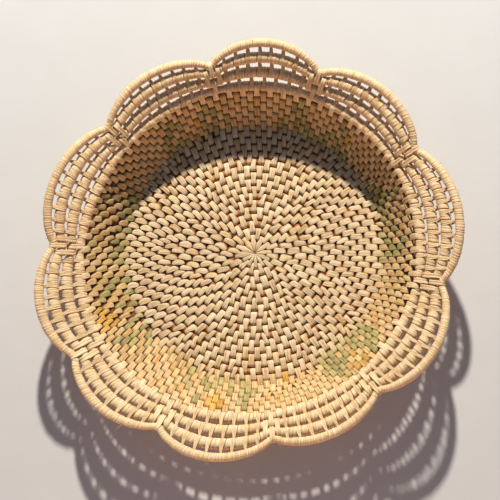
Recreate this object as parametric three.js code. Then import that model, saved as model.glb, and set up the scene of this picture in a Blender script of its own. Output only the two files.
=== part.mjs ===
// Round coiled basket: a flat spiral floor, a sloping coiled wall and an openwork rim of four wrapped cords
// that swell into ten petals and are lashed together in the valleys between them.
// Millimetres, +Z up. The origin is on the table, under the middle of the floor.

import * as THREE from 'three';

// Sizes of the coiled rope
const ropeRadius = 2.4; // of the rope that floor and wall are coiled from
const rowGap = 0.45; // between one row of the coil and the next
const footFlat = 0.5; // how deep the rope's outer side is flattened, where the basket stands on it
const stepsPerTurn = 24;
const tailTurns = 0.7; // the last part of the coil, which thins out under the rim

// Sizes of the floor and the wall, measured along the middle of the rope
const floorRadius = 98; // where the lines of floor and wall would cross
const bendRadius = 5; // between floor and wall
const wallAngle = 58.5; // degrees above the table
const wallLength = 35.8; // up the slope, from the crossing to the last full row

// Sizes of the middle
const knotRadius = 3.0;
const knotHeight = 4.4;
const knotShoulder = 1.4; // how far the knot's top edge is rounded off
const knotStrips = 12; // folded strips that meet in the middle

// Sizes of the openwork rim
const cordRadius = 2.75;
const rimAngle = 40; // degrees above the table
const petalWidths = [31, 34, 35, 38, 42, 38, 34, 37, 39, 32]; // degrees from valley to valley
const firstValley = 211; // degrees, anticlockwise from +X
const petalSwells = [0, 4.5, 8.7, 13.3]; // how far each cord swells past its valley, up the rim's slope
const petalFullness = [0.68, 1.03, 0.78, 1.12, 1.06, 0.97, 1.12, 0.87, 0.97, 0.78]; // shares of the swell
const petalRoundness = 0.68; // 1 is a sine wave, and less is a fuller petal
const petalSteps = 7; // straight steps of a cord between two sets of lashings

// The side of the basket that leans out further than the rest
const leanBearing = 210; // degrees
const leanSpread = 45; // degrees to each side
const leanOut = 0.275; // outwards for each millimetre above the floor's rope
const leanDrop = 0.45; // downwards for each millimetre outwards

// Sizes of the lashings
const strapThickness = 0.4;
const strapWidth = 3.6;
const strapSpacing = 0.7; // between neighbouring straps, along the cords
const seatGap = 0.3; // between pieces that touch on the basket

const degrees = Math.PI / 180;
const sides = 6; // of the rope and the cords
const rowPitch = 2 * ropeRadius + rowGap;
const turnAngle = 2 * Math.PI;
const floorThickness = 2 * ropeRadius - footFlat;

const straw = { color: 0xd9bd86, roughness: 0.75, metalness: 0 };
const paleStraw = { color: 0xe2cb9a, roughness: 0.75, metalness: 0 };
const lashingStraw = { color: 0xd8bb80, roughness: 0.7, metalness: 0 };

const basket = new THREE.Group();
basket.name = 'round_coiled_basket';

function addPiece(name, geometry, finish) {
  geometry.computeVertexNormals();
  const piece = new THREE.Mesh(geometry, new THREE.MeshStandardMaterial(finish));
  piece.name = name;
  basket.add(piece);
}

// How far a point moves outwards on the side that leans out

function leanAt(bearing, height) {
  const turned = bearing / degrees - leanBearing;
  const offset = turned - 360 * Math.round(turned / 360);
  const share = Math.exp(-((offset / leanSpread) ** 2));
  return share * leanOut * Math.max(height - floorThickness, 0);
}

// Points in the upright plane at one bearing
// A place holds the middle (radius, height) and the slope of the row there.

function pointAt(place, along, across, bearing) {
  const radius = place.radius + along * Math.cos(place.slope) - across * Math.sin(place.slope);
  const height = place.height + along * Math.sin(place.slope) + across * Math.cos(place.slope);
  const lean = leanAt(bearing, height);
  return new THREE.Vector3(
    (radius + lean) * Math.cos(bearing),
    (radius + lean) * Math.sin(bearing),
    Math.max(height - leanDrop * lean, 0),
  );
}

function mixRings(first, second, share) {
  return first.map((point, index) => point.clone().lerp(second[index], share));
}

// Closed solids from rings of points

function solidFrom(positions, triangles) {
  const geometry = new THREE.BufferGeometry();
  geometry.setAttribute('position', new THREE.Float32BufferAttribute(positions, 3));
  geometry.setIndex(triangles);
  return geometry;
}

function wallBetween(first, second, count, outward) {
  const triangles = [];
  for (let index = 0; index < count; index += 1) {
    const next = (index + 1) % count;
    const near = [first + index, first + next];
    const far = [second + index, second + next];
    if (outward) {
      triangles.push(near[0], far[0], near[1], near[1], far[0], far[1]);
    } else {
      triangles.push(near[0], near[1], far[0], near[1], far[1], far[0]);
    }
  }
  return triangles;
}

function tubeFrom(rings, closed) {
  const positions = rings.flat().flatMap((point) => point.toArray());
  const count = rings[0].length;
  const triangles = [];
  const steps = closed ? rings.length : rings.length - 1;
  for (let step = 0; step < steps; step += 1) {
    const next = (step + 1) % rings.length;
    triangles.push(...wallBetween(step * count, next * count, count, true));
  }
  if (!closed) {
    const last = (rings.length - 1) * count;
    for (let index = 1; index < count - 1; index += 1) {
      triangles.push(0, index, index + 1);
      triangles.push(last, last + index + 1, last + index);
    }
  }
  return solidFrom(positions, triangles);
}

// The line that the rows of the coil follow, from the middle of the floor outwards and up

const wallSlope = wallAngle * degrees;
const bendReach = bendRadius * Math.tan(wallSlope / 2);
const bendLength = bendRadius * wallSlope;
const bendStart = floorRadius - bendReach;
const standHeight = ropeRadius - footFlat;

function rowPlace(distance) {
  if (distance <= bendStart) {
    return { radius: distance, height: standHeight, slope: 0 };
  }
  const slope = Math.min((distance - bendStart) / bendRadius, wallSlope);
  const rest = Math.max(distance - bendStart - bendLength, 0);
  return {
    radius: bendStart + bendRadius * Math.sin(slope) + rest * Math.cos(slope),
    height: standHeight + bendRadius * (1 - Math.cos(slope)) + rest * Math.sin(slope),
    slope,
  };
}

// The rope: one spiral over floor and wall, flattened on its outer side

const coilEnd = (bendStart + bendLength + wallLength - bendReach) / rowPitch; // in turns, before the tail

function ropeRing(station) {
  const turn = station / stepsPerTurn;
  const inner = (turn - 1) * rowPitch + ropeRadius + rowGap;
  const outer = Math.min(turn, coilEnd) * rowPitch + ropeRadius;
  const radius = (outer - inner) / 2;
  const place = rowPlace((outer + inner) / 2);
  const bearing = turn * turnAngle;
  const depth = radius * (1 - footFlat / ropeRadius);
  const flatHalf = Math.sqrt(radius * radius - depth * depth);
  const topHalf = radius * Math.cos(60 * degrees);
  const top = radius * Math.sin(60 * degrees);
  return [
    pointAt(place, radius, 0, bearing),
    pointAt(place, topHalf, top, bearing),
    pointAt(place, -topHalf, top, bearing),
    pointAt(place, -radius, 0, bearing),
    pointAt(place, -flatHalf, -depth, bearing),
    pointAt(place, flatHalf, -depth, bearing),
  ];
}

function ropeRingAt(turn) {
  const exact = turn * stepsPerTurn;
  const station = Math.floor(exact);
  return mixRings(ropeRing(station), ropeRing(station + 1), exact - station);
}

function ropeRings(startTurn, endTurn) {
  const rings = [ropeRingAt(startTurn)];
  const firstStation = Math.floor(startTurn * stepsPerTurn) + 1;
  for (let station = firstStation; station < endTurn * stepsPerTurn; station += 1) {
    rings.push(ropeRing(station));
  }
  rings.push(ropeRingAt(endTurn));
  return rings;
}

// The least gap of a coil to itself: each ring's corners against the rope one turn further on,
// at the corners there and halfway along each edge to the next ring

function leastGap(rings) {
  let least = Infinity;
  for (let index = 1; index + stepsPerTurn + 1 < rings.length; index += 1) {
    const neighbour = rings[index + stepsPerTurn];
    const between = mixRings(neighbour, rings[index + stepsPerTurn + 1], 0.5);
    for (const point of [...rings[index], ...mixRings(rings[index], rings[index + 1], 0.5)]) {
      for (const other of [...neighbour, ...between]) {
        least = Math.min(least, point.distanceTo(other));
      }
    }
  }
  return least;
}

function addCoil(name, startTurn, endTurn) {
  const rings = ropeRings(startTurn, endTurn);
  addPiece(name, tubeFrom(rings, false), straw);
  const turns = (endTurn - startTurn).toFixed(1);
  console.log(`${name}: ${turns} turns, least gap to itself ${leastGap(rings).toFixed(2)} mm`);
}

const coilStart = (knotRadius + seatGap + ropeRadius) / rowPitch;
const splice = bendStart / rowPitch;
const halfSplice = seatGap / 2 / bendStart / turnAngle;

addCoil('base_coil', coilStart, splice - halfSplice);
addCoil('wall_coil', splice + halfSplice, coilEnd + tailTurns);

// The knot in the middle, with one face for each strip that is folded into it

const knotOutline = [
  new THREE.Vector2(0, 0),
  new THREE.Vector2(knotRadius, 0),
  new THREE.Vector2(knotRadius, knotHeight - knotShoulder),
  new THREE.Vector2(knotRadius - knotShoulder, knotHeight),
  new THREE.Vector2(0, knotHeight),
];
const knot = new THREE.LatheGeometry(knotOutline, knotStrips);
knot.rotateX(90 * degrees);
addPiece('centre_knot', knot, paleStraw);

// The line that the rim's cords follow: from the innermost cord outwards, up a gentler slope
// A strap's outline has a corner on each side of its tip, so it reaches a little past its own thickness.

const strapTurn = 45 * degrees; // between two corners of a strap's round end
const strapReach = (cordRadius + seatGap + strapThickness) / Math.cos(strapTurn / 2);
const rimStart = coilEnd * rowPitch + ropeRadius + seatGap + strapReach;
const rimFoot = rowPlace(rimStart);
const rimSlope = rimAngle * degrees;

function rimPlace(distance) {
  return {
    radius: rimFoot.radius + distance * Math.cos(rimSlope),
    height: rimFoot.height + distance * Math.sin(rimSlope),
    slope: rimSlope,
  };
}

// Room for one strap between two cords, or for two back to back
const roomForOne = strapThickness + 2 * seatGap;
const roomForTwo = 2 * strapThickness + 3 * seatGap;
const secondValley = 2 * cordRadius + roomForOne;
const thirdValley = secondValley + 2 * cordRadius + roomForTwo;
const outerValley = thirdValley + 2 * cordRadius + roomForOne;
const valleyDistances = [0, secondValley, thirdValley, outerValley];

// Bearings along the rim: where the valleys are, and where each cord has its corners
// Each cord runs straight under the lashings of a valley, so that they lie flat on it.

const valleys = [];
let valleyBearing = firstValley;
petalWidths.forEach((width, index) => {
  valleys.push({
    bearing: valleyBearing * degrees,
    petal: { width: width * degrees, fullness: petalFullness[index] },
  });
  valleyBearing += width;
});

const strapHalfAngle = strapWidth / 2 / rimPlace(secondValley).radius;
const strapStep = 2 * strapHalfAngle + strapSpacing / rimPlace(secondValley).radius;
const flatHalfAngle = strapStep / 2;
const slopeEndAngle = flatHalfAngle + strapStep;

function swellShare(angle, petal) {
  const share = (angle - flatHalfAngle) / (petal.width - 2 * flatHalfAngle);
  return petal.fullness * Math.sin(Math.PI * Math.min(Math.max(share, 0), 1)) ** petalRoundness;
}

function cordStations() {
  const stations = [];
  for (const valley of valleys) {
    const freeWidth = valley.petal.width - 2 * slopeEndAngle;
    const angles = [flatHalfAngle];
    for (let step = 0; step <= petalSteps; step += 1) {
      angles.push(slopeEndAngle + (freeWidth * step) / petalSteps);
    }
    angles.push(valley.petal.width - flatHalfAngle);
    for (const angle of angles) {
      stations.push({ bearing: valley.bearing + angle, swell: swellShare(angle, valley.petal) });
    }
  }
  return stations;
}

const stations = cordStations();

function cordRing(cord, station) {
  const place = rimPlace(valleyDistances[cord] + petalSwells[cord] * station.swell);
  const ring = [];
  for (let side = 0; side < sides; side += 1) {
    const angle = (side / sides) * turnAngle;
    const along = cordRadius * Math.cos(angle);
    const across = cordRadius * Math.sin(angle);
    ring.push(pointAt(place, along, across, station.bearing));
  }
  return ring;
}

const cordNames = ['rim_cord_inner', 'rim_cord_second', 'rim_cord_third', 'rim_cord_outer'];
cordNames.forEach((name, cord) => {
  const rings = stations.map((station) => cordRing(cord, station));
  addPiece(name, tubeFrom(rings, true), paleStraw);
});

// A cord's distance up the rim's slope at any bearing near a valley, on its straight stretches

function cordDistance(cord, valley, offset, petalBefore) {
  const angle = Math.abs(offset);
  const petal = offset < 0 ? petalBefore : valley.petal;
  const outside = Math.max(angle - flatHalfAngle, 0);
  const rise = swellShare(slopeEndAngle, petal) * petalSwells[cord];
  return valleyDistances[cord] + (rise * outside) / strapStep;
}

// A lashing: a flat strap round two neighbouring cords, whose two edges follow them

function strapOutline(near, far, reach, bearing) {
  const corners = [-1.5, -0.5, 0.5, 1.5];
  const radius = reach / Math.cos(strapTurn / 2);
  const outline = [];
  for (const end of [far, near]) {
    const facing = end === far ? 0 : Math.PI;
    for (const corner of corners) {
      const angle = facing + corner * strapTurn;
      outline.push(
        pointAt(rimPlace(end), radius * Math.cos(angle), radius * Math.sin(angle), bearing),
      );
    }
  }
  return outline;
}

function lashing(cord, valleyIndex, middle) {
  const valley = valleys[valleyIndex];
  const petalBefore = valleys[(valleyIndex + valleys.length - 1) % valleys.length].petal;
  const rings = [];
  for (const edge of [-strapHalfAngle, strapHalfAngle]) {
    const offset = middle + edge;
    const bearing = valley.bearing + offset;
    const near = cordDistance(cord, valley, offset, petalBefore);
    const far = cordDistance(cord + 1, valley, offset, petalBefore);
    rings.push(strapOutline(near, far, cordRadius + seatGap + strapThickness, bearing));
    rings.push(strapOutline(near, far, cordRadius + seatGap, bearing));
  }
  const count = rings[0].length;
  const [outerStart, innerStart, outerEnd, innerEnd] = [0, count, 2 * count, 3 * count];
  const triangles = [
    ...wallBetween(outerStart, outerEnd, count, true),
    ...wallBetween(innerStart, innerEnd, count, false),
    ...wallBetween(innerStart, outerStart, count, true),
    ...wallBetween(innerEnd, outerEnd, count, false),
  ];
  return solidFrom(rings.flat().flatMap((point) => point.toArray()), triangles);
}

// Four lashings in each valley: one on the inner pair of cords, two on the middle pair, one on the outer pair

valleys.forEach((valley, index) => {
  const number = String(index + 1).padStart(2, '0');
  addPiece(`lashing_${number}_inner`, lashing(0, index, 0), lashingStraw);
  addPiece(`lashing_${number}_middle_left`, lashing(1, index, strapStep), lashingStraw);
  addPiece(`lashing_${number}_middle_right`, lashing(1, index, -strapStep), lashingStraw);
  addPiece(`lashing_${number}_outer`, lashing(2, index, 0), lashingStraw);
});

export default basket;
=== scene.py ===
"""A round coiled basket with a stitched floor and wall and a scalloped openwork rim."""

import math

import bpy
import numpy as np
from bpy.props import FloatProperty, FloatVectorProperty, IntProperty, PointerProperty
from mathutils import Matrix, Vector


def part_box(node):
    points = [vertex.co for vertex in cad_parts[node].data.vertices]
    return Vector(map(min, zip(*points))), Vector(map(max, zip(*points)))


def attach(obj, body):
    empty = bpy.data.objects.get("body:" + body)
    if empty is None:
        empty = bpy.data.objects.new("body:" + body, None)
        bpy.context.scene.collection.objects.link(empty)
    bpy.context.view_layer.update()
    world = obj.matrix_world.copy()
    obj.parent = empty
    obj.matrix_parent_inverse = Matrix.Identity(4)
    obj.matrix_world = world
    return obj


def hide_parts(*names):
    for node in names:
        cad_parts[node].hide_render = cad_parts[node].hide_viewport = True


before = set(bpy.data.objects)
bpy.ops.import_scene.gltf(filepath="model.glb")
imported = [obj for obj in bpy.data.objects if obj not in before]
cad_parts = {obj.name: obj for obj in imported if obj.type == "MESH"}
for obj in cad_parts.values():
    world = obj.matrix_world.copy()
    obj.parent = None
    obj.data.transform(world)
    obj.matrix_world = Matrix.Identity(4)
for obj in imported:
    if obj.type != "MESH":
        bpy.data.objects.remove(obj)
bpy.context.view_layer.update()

bl_info = {
    "name": "Round Coiled Basket",
    "version": (1, 0, 0),
    "blender": (4, 5, 0),
    "location": "3D View > Sidebar > Basket",
    "description": "Builds a coiled straw basket with an openwork petal rim",
    "category": "Add Mesh",
}

BODY = "root"
FULL_TURN = 2 * math.pi
RIM_CORDS = ("rim_cord_inner", "rim_cord_second", "rim_cord_third", "rim_cord_outer")
MM = 0.001
# What the chance differences of each kind of piece start from
SEEDS = {
    "star": 3,
    "stitches": 11,
    "cords": 20,
    "bridge_places": 40,
    "bridges": 50,
    "lashings": 60,
    "fibres": 70,
}


def length(name, description, default):
    """A size in metres that a user may change."""
    return FloatProperty(
        name=name, description=description, default=default, min=0.0, unit="LENGTH", precision=5
    )


def angle(name, description, degrees):
    """An angle that a user may change."""
    return FloatProperty(
        name=name, description=description, default=math.radians(degrees), unit="ROTATION"
    )


def colour(name, description, default):
    """A linear colour that a user may change."""
    return FloatVectorProperty(
        name=name, description=description, default=default, size=3, min=0, max=1, subtype="COLOR"
    )


def number(name, description, default, lowest=0.0, highest=1e6):
    """A plain number that a user may change."""
    return FloatProperty(
        name=name, description=description, default=default, min=lowest, max=highest
    )


def whole_number(name, description, default, highest):
    """A count that a user may change."""
    return IntProperty(
        name=name, description=description, default=default, min=1, max=highest
    )


class BasketSizes(bpy.types.PropertyGroup):
    """Real sizes of the coil, the rim and the strips."""

    row_pitch: length("Row pitch", "From one row of the coil to the next", 5.25 * MM)
    stand_height: length("Rope height", "Middle of the rope above the table", 1.9 * MM)
    floor_radius: length("Floor radius", "Where the lines of floor and wall cross", 98 * MM)
    bend_radius: length("Bend radius", "Between floor and wall", 5 * MM)
    wall_angle: angle("Wall angle", "Above the table", 58.5)
    wall_length: length("Wall length", "Up the slope to the last full row", 35.8 * MM)
    tail_turns: number("Tail", "Turns over which the coil thins out", 0.7, 0.1, 0.9)
    rim_angle: angle("Rim angle", "Slope of the openwork above the table", 40)
    rim_gap: length("Rim gap", "From the last row's side to the inner cord's middle", 4.03 * MM)
    inner_cord: length("Inner cord", "Radius with its winding in the middle of a petal", 3.5 * MM)
    second_cord: length("Second cord", "Radius with its winding in the middle of a petal", 3.7 * MM)
    third_cord: length("Third cord", "Radius with its winding in the middle of a petal", 3.75 * MM)
    outer_cord: length("Outer cord", "Radius with its winding in the middle of a petal", 3.15 * MM)
    valley_squeeze: length("Valley squeeze", "How much thinner the lashings pull a cord", 0.6 * MM)
    second_valley: length("Second valley", "Up the rim's slope in a valley", 6.5 * MM)
    third_valley: length("Third valley", "Up the rim's slope in a valley", 13.7 * MM)
    outer_valley: length("Outer valley", "Up the rim's slope in a valley", 20.2 * MM)
    second_swell: length("Second swell", "How far the cord swells past its valley", 4.5 * MM)
    third_swell: length("Third swell", "How far the cord swells past its valley", 8.7 * MM)
    outer_swell: length("Outer swell", "How far the cord swells past its valley", 13.3 * MM)
    petal_roundness: number("Petal roundness", "Under 1 is fuller than a sine wave", 0.68, 0.3, 2)
    strip_width: length("Strip width", "Widest that a sewing strip gets", 5.6 * MM)
    strip_thickness: length("Strip thickness", "Of the sewing strips", 0.44 * MM)
    stitch_spacing: length("Stitch spacing", "Between stitches of one row", 8.6 * MM)
    lashing_width: length("Lashing width", "Of the strips in the valleys", 3.4 * MM)
    bridge_spacing: length("Bridge spacing", "Between long stitches of the openwork", 8.3 * MM)
    wrap_width: length("Wrap width", "Of one winding of a rim cord", 2.9 * MM)
    loose_fibres: whole_number("Loose fibres", "Fibre ends that stick out of the rim", 700, 5000)
    star_strips: whole_number("Star strips", "Folded strips in the middle", 12, 40)


class BasketColours(bpy.types.PropertyGroup):
    """Colours of the straw, the rope and the floor."""

    straw_pale: colour("Pale straw", "Lightest natural strips", (0.86, 0.73, 0.54))
    straw: colour("Straw", "Most natural strips", (0.73, 0.56, 0.355))
    straw_tan: colour("Tan straw", "Darkest natural strips", (0.50, 0.32, 0.17))
    wall_pale: colour("Pale wall", "Lightest wall strips", (0.755, 0.61, 0.35))
    wall_straw: colour("Wall straw", "Most wall strips", (0.66, 0.455, 0.225))
    wall_tan: colour("Tan wall", "Darkest wall strips", (0.455, 0.265, 0.095))
    cord_pale: colour("Pale cord", "Lightest strips of the rim", (0.90, 0.77, 0.55))
    cord_straw: colour("Cord straw", "Most strips of the rim", (0.80, 0.61, 0.38))
    cord_tan: colour("Tan cord", "Darkest strips of the rim", (0.58, 0.38, 0.20))
    green: colour("Green", "Dyed strips of the wall's triangles", (0.42, 0.355, 0.15))
    orange: colour("Orange", "Dyed strips between the triangles", (0.64, 0.375, 0.085))
    # the rope's colour, made dark and warm, partly painted shade for the gaps it shows in
    grass: colour("Grass", "The rope inside the floor's strips", (0.38, 0.14, 0.035))
    # a darker copy of the rope's colour, painted shade for the wall's deep gaps
    wall_grass: colour("Wall grass", "The rope inside the wall's strips", (0.17, 0.055, 0.012))
    floor: colour("Floor", "The plain floor it stands on", (0.52, 0.50, 0.475))


class StageSettings(bpy.types.PropertyGroup):
    """Camera and light."""

    camera_distance: length("Camera distance", "From the middle of the basket's floor", 1.02)
    camera_tilt: angle("Camera tilt", "Off the vertical, towards -Y", 5.0)
    camera_lean: angle("Camera lean", "Off the vertical, towards +X", 2.2)
    aim_x: number("Aim X", "Of the point looked at, in metres", -0.0038, -1)
    aim_y: number("Aim Y", "Of the point looked at, in metres", 0.0029, -1)
    lens: number("Lens", "Focal length in millimetres", 97.9, 10)
    key_distance: length("Key distance", "Of the key light from the basket", 1.7)
    key_height: angle("Key height", "Of the key light above the table", 37.3)
    key_side: angle("Key side", "Of the key light, from +Y towards +X", -1)
    key_power: number("Key power", "Of the key light, in watts", 57)


# Where the rows of the coil and the cords of the rim run, in an upright plane through the middle

RIM_SEAT = 0.225 * MM  # half the gap between rows, which the strips take up here
VALLEY_HALF = math.radians(1.0)  # a cord runs straight this far to each side of a valley
VALLEY_FADE = (0.035, 0.17)  # angles from a valley between which a cord fills out again
SHARE_STEPS = 3600  # bearings in the table of how far the petals swell
SHARE_BLUR = 14  # steps of that table over which a valley is rounded off
# How full each petal is, from the first valley on
PETAL_FULLNESS = (0.97, 1.12, 0.87, 0.97, 0.78, 0.68, 1.03, 0.78, 1.12, 1.06)


class Lines:
    """The lines that the rows and cords follow, worked out from the sizes."""

    def __init__(self, sizes):
        self.sizes = sizes
        self.pitch = sizes.row_pitch
        self.bend_reach = sizes.bend_radius * math.tan(sizes.wall_angle / 2)
        self.bend_start = sizes.floor_radius - self.bend_reach
        self.bend_length = sizes.bend_radius * sizes.wall_angle
        wall_end = self.bend_start + self.bend_length + sizes.wall_length - self.bend_reach
        self.coil_end = wall_end / self.pitch
        self.splice = self.bend_start / self.pitch
        rim_start = wall_end + sizes.row_pitch / 2 + sizes.rim_gap - RIM_SEAT
        foot = self.row(np.array([rim_start]))
        self.rim_foot = (float(foot[0][0]), float(foot[1][0]))
        self.valleys = valley_bearings()
        self.cord_starts = (0.0, sizes.second_valley, sizes.third_valley, sizes.outer_valley)
        self.cord_swells = (0.0, sizes.second_swell, sizes.third_swell, sizes.outer_swell)
        self.share_table = self.smooth_shares()

    def row(self, distance):
        """(radius, height, slope) of a row, by its distance along floor and wall from the middle."""
        distance = np.asarray(distance, float)
        bend = self.sizes.bend_radius
        slope = np.clip((distance - self.bend_start) / bend, 0, self.sizes.wall_angle)
        flat = np.minimum(distance, self.bend_start)
        rest = np.maximum(distance - self.bend_start - self.bend_length, 0)
        radius = flat + bend * np.sin(slope) + rest * np.cos(slope)
        height = self.sizes.stand_height + bend * (1 - np.cos(slope)) + rest * np.sin(slope)
        return radius, height, slope

    def rim(self, distance):
        """(radius, height) of a point up the rim's slope."""
        distance = np.asarray(distance, float)
        radius = self.rim_foot[0] + distance * math.cos(self.sizes.rim_angle)
        height = self.rim_foot[1] + distance * math.sin(self.sizes.rim_angle)
        return radius, height

    def rope(self, turn):
        """(distance, radius) of the rope at a turn, where the radius includes the strips round it."""
        turn = np.asarray(turn, float)
        inner = (turn - 0.5) * self.pitch
        outer = (np.minimum(turn, self.coil_end) + 0.5) * self.pitch
        return (inner + outer) / 2, (outer - inner) / 2

    def petal_share(self, bearing):
        """How much of its swell a cord has: 0 in a valley, most in the middle of a petal."""
        bearing = np.asarray(bearing, float) % FULL_TURN
        edges = np.append(self.valleys, self.valleys[0] + FULL_TURN)
        bearing = np.where(bearing < edges[0], bearing + FULL_TURN, bearing)
        petal = np.clip(np.searchsorted(edges, bearing, side="right") - 1, 0, len(self.valleys) - 1)
        low = edges[petal] + VALLEY_HALF
        high = edges[petal + 1] - VALLEY_HALF
        share = np.clip((bearing - low) / (high - low), 0, 1)
        return np.array(PETAL_FULLNESS)[petal] * np.sin(math.pi * share) ** self.sizes.petal_roundness

    def smooth_shares(self):
        """The petal shares at even bearings, rounded off where a cord turns in a valley."""
        shares = self.petal_share(np.arange(SHARE_STEPS) * FULL_TURN / SHARE_STEPS)
        kernel = np.hanning(2 * SHARE_BLUR + 3)[1:-1]
        wrapped = np.concatenate([shares[-SHARE_BLUR:], shares, shares[:SHARE_BLUR]])
        return np.convolve(wrapped, kernel / kernel.sum(), mode="valid")

    def cord_distance(self, cord, bearing):
        """How far up the rim's slope a cord runs at a bearing."""
        exact = (np.asarray(bearing, float) % FULL_TURN) / FULL_TURN * SHARE_STEPS
        table = np.append(self.share_table, self.share_table[0])
        share = np.interp(exact, np.arange(SHARE_STEPS + 1), table)
        return self.cord_starts[cord] + self.cord_swells[cord] * share

    def cord_place(self, cord, bearing):
        """(radius, height) of a cord's middle at a bearing."""
        return self.rim(self.cord_distance(cord, bearing))

    def cord_radius(self, cord, bearing):
        """A cord's radius with its winding: thinner where the lashings pull it together."""
        sizes = self.sizes
        full = (sizes.inner_cord, sizes.second_cord, sizes.third_cord, sizes.outer_cord)[cord]
        swollen = np.interp(self.valley_offset(bearing), VALLEY_FADE, (0, 1))
        return full - sizes.valley_squeeze * (1 - swollen)

    def valley_offset(self, bearing):
        """The angle from a bearing to the nearest valley."""
        gap = np.asarray(bearing, float)[..., None] - self.valleys
        return np.abs((gap + math.pi) % FULL_TURN - math.pi).min(axis=-1)

    def cord_slant(self, cord, bearing):
        """How much wider a cord's section is in an upright plane, because it runs at a slant."""
        step = 0.01
        ahead = self.cord_distance(cord, bearing + step)
        behind = self.cord_distance(cord, bearing - step)
        radius = self.cord_place(cord, bearing)[0]
        return math.hypot(1.0, float((ahead - behind) / (2 * step * radius)))


def valley_bearings():
    """The bearing of each valley, from the lashings of the CAD model."""
    bearings = []
    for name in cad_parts:
        if name.startswith("lashing") and name.endswith("_inner"):
            low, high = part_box(name)
            middle = (low + high) / 2
            bearings.append(math.atan2(middle.y, middle.x) % FULL_TURN)
    return np.array(sorted(bearings))


# Meshes: bands of strip and tubes, gathered as arrays and made into one object each


class MeshMaker:
    """Gathers closed pieces into one mesh, with a strip UV map and a strip attribute."""

    def __init__(self):
        self.points = []
        self.faces = []
        self.uvs = []
        self.tones = []
        self.caps = []
        self.count = 0

    def add_grid(self, points, u, v, tone, closed_along=True):
        """A closed tube from points[along, round, xyz], with u per step along and v per step round."""
        along, around = points.shape[:2]
        index = np.arange(along * around).reshape(along, around) + self.count
        steps = along if closed_along else along - 1
        here = np.arange(steps)
        there = (here + 1) % along
        next_round = (np.arange(around) + 1) % around
        quads = np.stack(
            [
                index[here],
                index[there],
                index[there][:, next_round],
                index[here][:, next_round],
            ],
            axis=-1,
        ).reshape(-1, 4)
        self.points.append(points.reshape(-1, 3))
        self.faces.append(quads)
        u_next = np.append(u, 2 * u[-1] - u[-2])
        v_next = np.append(v, v[0] if v[0] != 0 else 1.0)
        corner_u = np.stack([here, here + 1, here + 1, here], axis=-1)
        corner_v = np.arange(around)
        corner_v = np.stack([corner_v, corner_v, corner_v + 1, corner_v + 1], axis=-1)
        uv = np.empty((steps, around, 4, 2))
        uv[..., 0] = u_next[corner_u][:, None, :]
        uv[..., 1] = v_next[corner_v][None, :, :]
        self.uvs.append(uv.reshape(-1, 2))
        tones = np.broadcast_to(np.asarray(tone, float), (along, around, 4))
        self.tones.append(tones.reshape(-1, 4))
        self.count += along * around
        if not closed_along:
            self.add_cap(index[0])
            self.add_cap(index[-1][::-1])

    def add_cap(self, ring):
        """Closes a tube's end with a fan of triangles."""
        for second, third in zip(ring[1:-1], ring[2:]):
            self.caps.append((ring[0], second, third))

    def build(self, name, material):
        """Makes one object of all the pieces gathered so far."""
        points = settle(np.concatenate(self.points))
        faces = np.concatenate(self.faces)
        caps = self.caps
        mesh = bpy.data.meshes.new(name)
        corner_count = faces.size + 3 * len(caps)
        mesh.vertices.add(len(points))
        mesh.vertices.foreach_set("co", points.ravel())
        mesh.loops.add(corner_count)
        corners = np.concatenate([faces.ravel(), np.array(caps, int).ravel()]).astype(np.int32)
        mesh.loops.foreach_set("vertex_index", corners)
        starts = np.concatenate(
            [np.arange(len(faces)) * 4, len(faces) * 4 + np.arange(len(caps)) * 3]
        ).astype(np.int32)
        mesh.polygons.add(len(starts))
        mesh.polygons.foreach_set("loop_start", starts)
        mesh.polygons.foreach_set("use_smooth", np.ones(len(starts), bool))
        mesh.update(calc_edges=True)
        layer = mesh.uv_layers.new(name="strip_uv")
        uv = np.concatenate(self.uvs + [np.zeros((3 * len(caps), 2))])
        layer.data.foreach_set("uv", uv.ravel())
        attribute = mesh.attributes.new("strip", "FLOAT_COLOR", "POINT")
        attribute.data.foreach_set("color", np.concatenate(self.tones).ravel())
        mesh.validate()
        mesh.materials.append(material)
        piece = bpy.data.objects.new(name, mesh)
        bpy.context.scene.collection.objects.link(piece)
        return piece


LEAN_BEARING = math.radians(210)
LEAN_SPREAD = math.radians(45)
LEAN_OUT = 0.275  # outwards for each step above the floor's rope
LEAN_DROP = 0.45  # downwards for each step outwards
FLOOR_THICKNESS = 4.3 * MM
# Slow waves, each with how often it comes in a turn, its size and where it starts
STRETCH_WAVES = ((2, 0.04, 0.7), (3, 0.03, 2.1))
LIFT_WAVES = ((2, 0.7, 1.9), (5, 0.4, 0.4))
LIFT_HEIGHT = 0.05  # metres above the table at which the lift has its full size


def wave_sum(waves, bearing):
    return sum(size * np.sin(count * bearing + start) for count, size, start in waves)


def settle(points):
    """Hand-made unevenness of the whole basket, which leaves the floor's underside flat.

    One side leans further out than the rest, and slow waves run all the way round.
    """
    bearing = np.arctan2(points[:, 1], points[:, 0])
    radius = np.hypot(points[:, 0], points[:, 1])
    height = points[:, 2]
    offset = (bearing - LEAN_BEARING + math.pi) % FULL_TURN - math.pi
    share = np.exp(-((offset / LEAN_SPREAD) ** 2))
    outward = share * LEAN_OUT * np.maximum(height - FLOOR_THICKNESS, 0)
    stretch = 1 + wave_sum(STRETCH_WAVES, bearing) * radius + outward / np.maximum(radius, 0.01)
    high = np.clip(height / LIFT_HEIGHT, 0, 1.3)
    moved = points.copy()
    moved[:, 0] *= stretch
    moved[:, 1] *= stretch
    moved[:, 2] += high * MM * wave_sum(LIFT_WAVES, bearing)
    moved[:, 2] = np.maximum(moved[:, 2] - LEAN_DROP * outward, 0.0)
    return moved


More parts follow.
